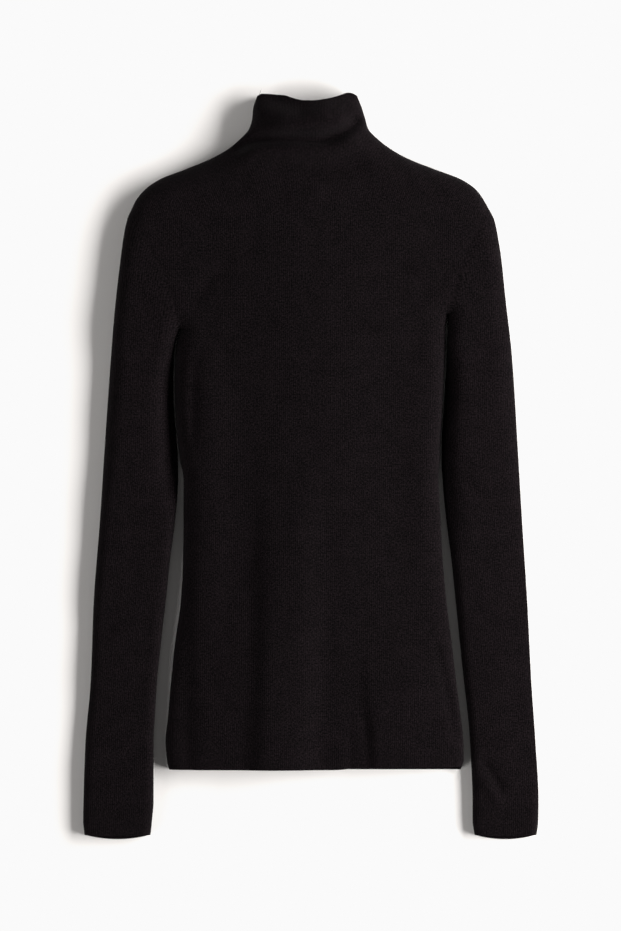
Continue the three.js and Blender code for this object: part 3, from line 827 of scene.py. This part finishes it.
farAway = 1000  # past any point of the cloth
aboveHem = (hemY + 6, farAway)
aboveCuff = (cuffY + 6, farAway)
belowCollarEdge = (-farAway, collarTopY - 9)
panelCut = (0.348, 0.593)
sleeveCut = (0.15, 0.60)
collarCut = (0.36, 0.11)
back = sewnPiece("backPanel", *bodyPanel("under"), False, True, aboveHem, panelCut, 0.161, [])
front = sewnPiece("frontPanel", *bodyPanel("upper"), False, False, aboveHem, panelCut, 0.158, [back])
rightSleeve = sewnPiece("rightSleeve", *sleevePiece("right"), True, False, aboveCuff, sleeveCut, 0.080, [])
leftSleeve = sewnPiece("leftSleeve", *sleevePiece("left"), True, True, aboveCuff, sleeveCut, 0.080, [])
collar = sewnPiece("collarTube", *collarPiece(), True, False, belowCollarEdge, collarCut, 0.026, [])
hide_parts("front")
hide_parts("back")
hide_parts("sleeve_right")
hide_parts("sleeve_left")
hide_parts("collar")
print("cloth is sewn")


def paperLook():
    look = Look("white sweep")
    grain = look.node("ShaderNodeTexNoise", {}, {"Scale": 300, "Detail": 2})
    bump = look.node("ShaderNodeBump", {}, {"Strength": 0.02, "Distance": 0.0002, "Height": grain})
    skin = look.node("ShaderNodeBsdfPrincipled", {}, {
        "Base Color": (0.905, 0.875, 0.85, 1), "Roughness": 0.9, "Specular IOR Level": 0.0, "Normal": bump,
    })
    look.node("ShaderNodeOutputMaterial", {}, {"Surface": skin})
    return look.material


def surface():
    bm = bmesh.new()
    bmesh.ops.create_grid(bm, x_segments=1, y_segments=1, size=3.0)
    bmesh.ops.translate(bm, verts=bm.verts, vec=(0, 0, -0.0005))
    mesh = bpy.data.meshes.new("surface")
    bm.to_mesh(mesh)
    bm.free()
    mesh.materials.append(paperLook())
    made = bpy.data.objects.new("surface", mesh)
    bpy.context.scene.collection.objects.link(made)


def boxLight(name, elevation, distance, width, length, power, forward):
    # a softbox on the right, turned to the middle of the sweater
    light = bpy.data.lights.new(name, "AREA")
    light.shape = "RECTANGLE"
    light.size = width
    light.size_y = length
    light.energy = power
    tilt = math.radians(elevation)
    made = bpy.data.objects.new(name, light)
    made.location = (distance * math.cos(tilt), forward, distance * math.sin(tilt))
    made.rotation_euler = (0, math.radians(90) - tilt, 0)
    bpy.context.scene.collection.objects.link(made)


def sunFrom(name, azimuth, elevation, angle, strength):
    # the azimuth is counted from +X towards +Y
    light = bpy.data.lights.new(name, "SUN")
    light.energy = strength
    light.angle = math.radians(angle)
    made = bpy.data.objects.new(name, light)
    made.rotation_euler = (0, math.radians(90 - elevation), math.radians(azimuth))
    bpy.context.scene.collection.objects.link(made)


def skyOf(horizon, overhead):
    # soft light all round, weaker from overhead, where the camera hangs
    world = bpy.data.worlds.new("studio")
    world.use_nodes = True
    tree = world.node_tree
    place = tree.nodes.new("ShaderNodeTexCoord")
    split = tree.nodes.new("ShaderNodeSeparateXYZ")
    strength = tree.nodes.new("ShaderNodeMapRange")
    strength.inputs["To Min"].default_value = horizon
    strength.inputs["To Max"].default_value = overhead
    tree.links.new(place.outputs["Generated"], split.inputs[0])
    tree.links.new(split.outputs["Z"], strength.inputs["Value"])
    background = tree.nodes["Background"]
    background.inputs["Color"].default_value = (1, 1, 1, 1)
    tree.links.new(strength.outputs["Result"], background.inputs["Strength"])
    return world


def studio():
    use = {
        "sky": {"horizon": 0.30, "overhead": 0.03},
        "key": {"elevation": 26, "distance": 3.0, "width": 1.05, "length": 3.2, "power": 275, "forward": 0.1},
        "fill": {"azimuth": 208, "elevation": 15, "angle": 40, "strength": 2.3},
        "whitePoint": 0.956,  # the floor is lit past this and held at it, as film holds a white sweep
        "lens": 180,
        "sensor": 36,
        "viewHeight": 0.903,
        "centre": (-0.00035, 0.0019),
    }
    bpy.context.scene.world = skyOf(**use["sky"])
    boxLight("key", **use["key"])
    sunFrom("fill", **use["fill"])
    camera = bpy.data.cameras.new("camera")
    camera.lens = use["lens"]
    camera.sensor_width = use["sensor"]
    camera.clip_end = 50
    made = bpy.data.objects.new("camera", camera)
    made.location = (*use["centre"], use["viewHeight"] * use["lens"] / use["sensor"])
    bpy.context.scene.collection.objects.link(made)
    bpy.context.scene.camera = made
    view = bpy.context.scene.view_settings
    view.view_transform = "Standard"
    view.look = "None"
    view.use_curve_mapping = True
    view.curve_mapping.extend = "HORIZONTAL"
    curve = view.curve_mapping.curves[3]
    curve.points[0].location = (0, 0)
    curve.points[1].location = (1, use["whitePoint"])
    knee = curve.points.new(use["whitePoint"] - 0.02, use["whitePoint"] - 0.02)
    for point in (curve.points[0], knee, curve.points[len(curve.points) - 1]):
        point.handle_type = "VECTOR"
    view.curve_mapping.update()


surface()
studio()
print("studio is set")
